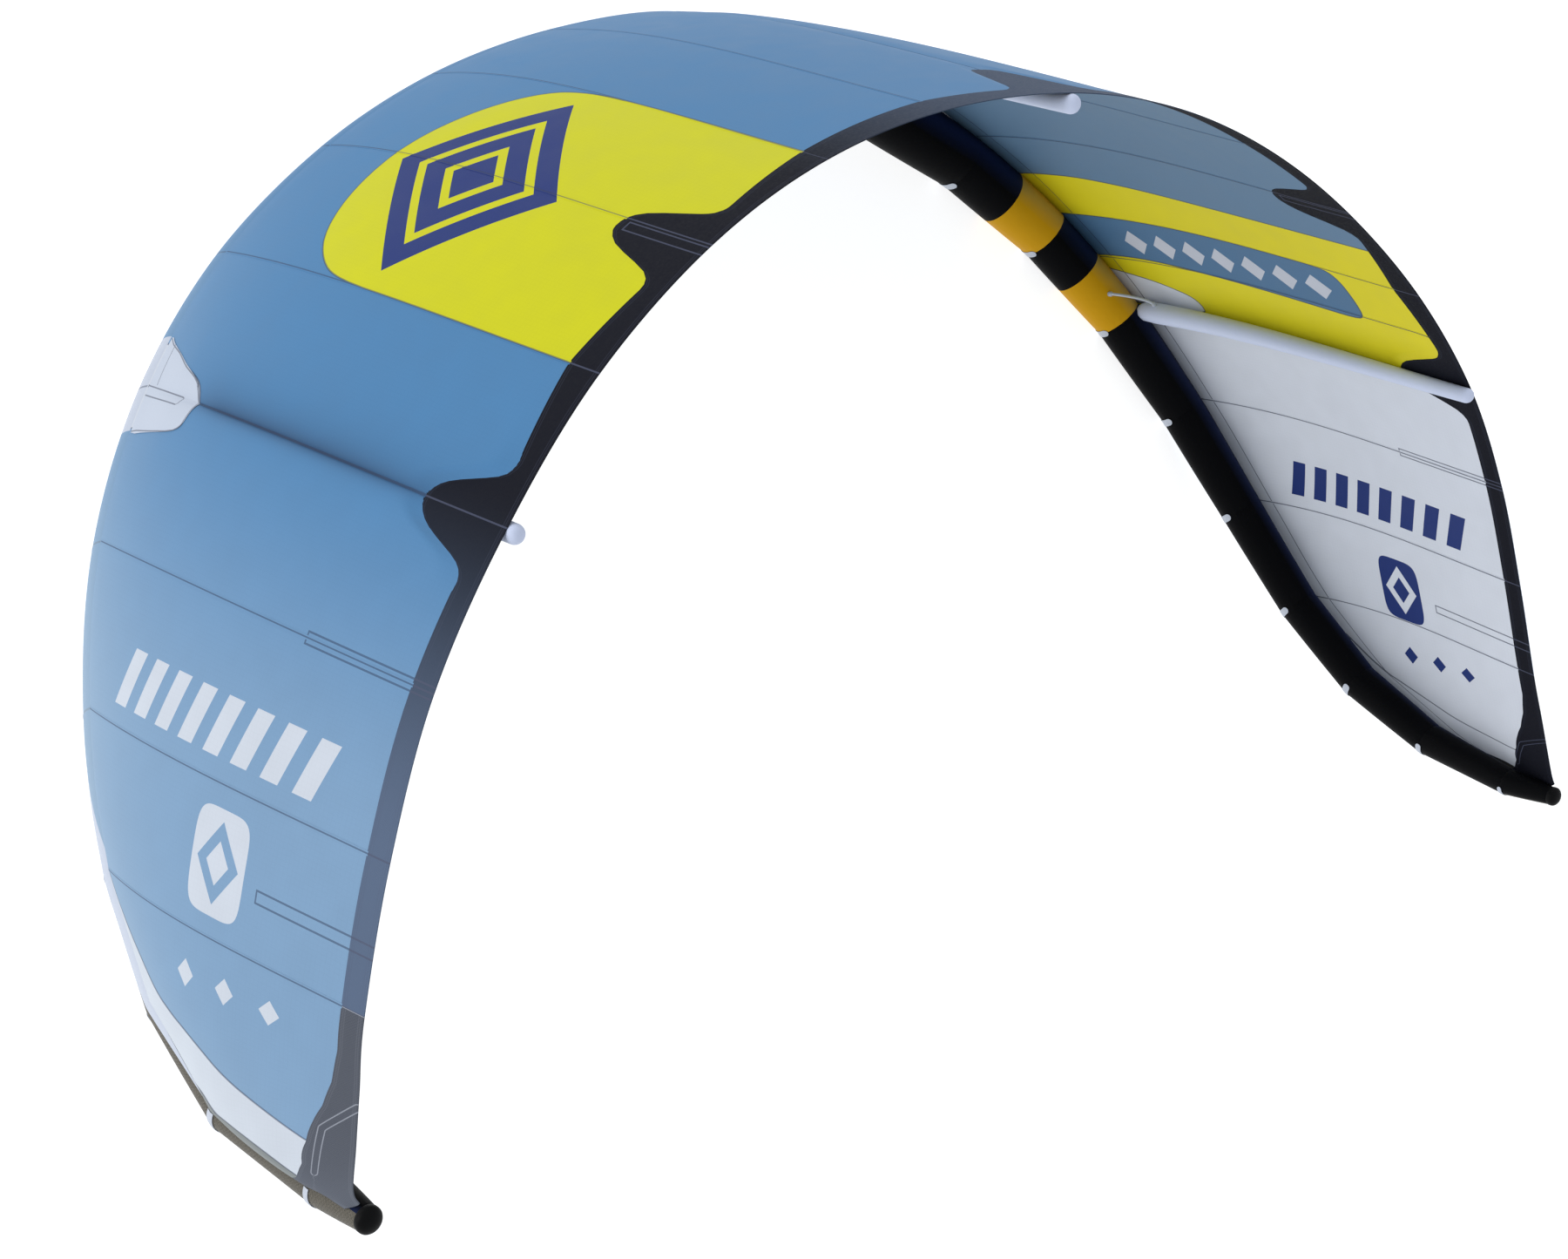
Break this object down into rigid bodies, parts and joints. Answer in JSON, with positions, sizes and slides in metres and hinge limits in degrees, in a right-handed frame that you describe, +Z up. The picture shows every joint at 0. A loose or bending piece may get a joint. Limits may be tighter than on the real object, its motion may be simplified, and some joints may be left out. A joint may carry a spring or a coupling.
{
  "type": "inflatable kite for kitesurfing",
  "caption": "Inflatable kitesurfing kite: arched panelled canopy on a tapering air-filled leading edge tube with chordwise air struts and a bound trailing edge.",
  "frame": {"origin": "on the ground under the middle of the whole kite as it lies on its leading edge", "axes": "+X along the span to the kite's right as it is seen from behind, +Z up, +Y towards the side that the leading edge's middle lies on"},
  "size_m": [4.1628, 2.7867, 1.5881],
  "materials": {
    "tube_blue": "matte coated polyester",
    "tube_tip": "matte coated polyester",
    "canopy_blue": "matte ripstop",
    "canopy_yellow": "matte ripstop",
    "binding": "matte dacron",
    "white_cloth": "matte dacron",
    "cap": "matte",
    "hose": "satin"
  },
  "bodies": {
    "root": {"tube_left_1": "tube_blue", "tube_left_2": "tube_blue", "tube_left_3": "tube_blue", "tube_left_4": "tube_blue", "tube_left_5": "tube_blue", "tube_left_6": "tube_blue", "tube_left_7": "tube_blue", "tube_left_8": "tube_blue", "tube_left_9": "tube_tip", "tube_left_10": "tube_tip", "tube_left_11": "tube_tip", "tube_left_12": "tube_tip", "cap_left": "cap", "panel_left_1": "canopy_blue", "panel_left_2": "canopy_blue", "panel_left_3": "canopy_yellow", "panel_left_4": "canopy_yellow", "panel_left_5": "canopy_blue", "panel_left_6": "canopy_blue", "panel_left_7": "canopy_blue", "panel_left_8": "canopy_blue", "panel_left_tip": "canopy_blue", "binding_left_1": "binding", "binding_left_2": "binding", "binding_left_3": "binding", "strut_left": "white_cloth", "patch_left": "white_cloth", "hose_left": "hose", "tube_right_1": "tube_blue", "tube_right_2": "tube_blue", "tube_right_3": "tube_blue", "tube_right_4": "tube_blue", "tube_right_5": "tube_blue", "tube_right_6": "tube_blue", "tube_right_7": "tube_blue", "tube_right_8": "tube_blue", "tube_right_9": "tube_tip", "tube_right_10": "tube_tip", "tube_right_11": "tube_tip", "tube_right_12": "tube_tip", "cap_right": "cap", "panel_right_1": "canopy_blue", "panel_right_2": "canopy_blue", "panel_right_3": "canopy_yellow", "panel_right_4": "canopy_yellow", "panel_right_5": "canopy_blue", "panel_right_6": "canopy_blue", "panel_right_7": "canopy_blue", "panel_right_8": "canopy_blue", "panel_right_tip": "canopy_blue", "binding_right_1": "binding", "binding_right_2": "binding", "binding_right_3": "binding", "strut_right": "white_cloth", "patch_right": "white_cloth", "hose_right": "hose", "binding_centre": "binding", "strut_centre": "white_cloth"}
  },
  "joints": []
}
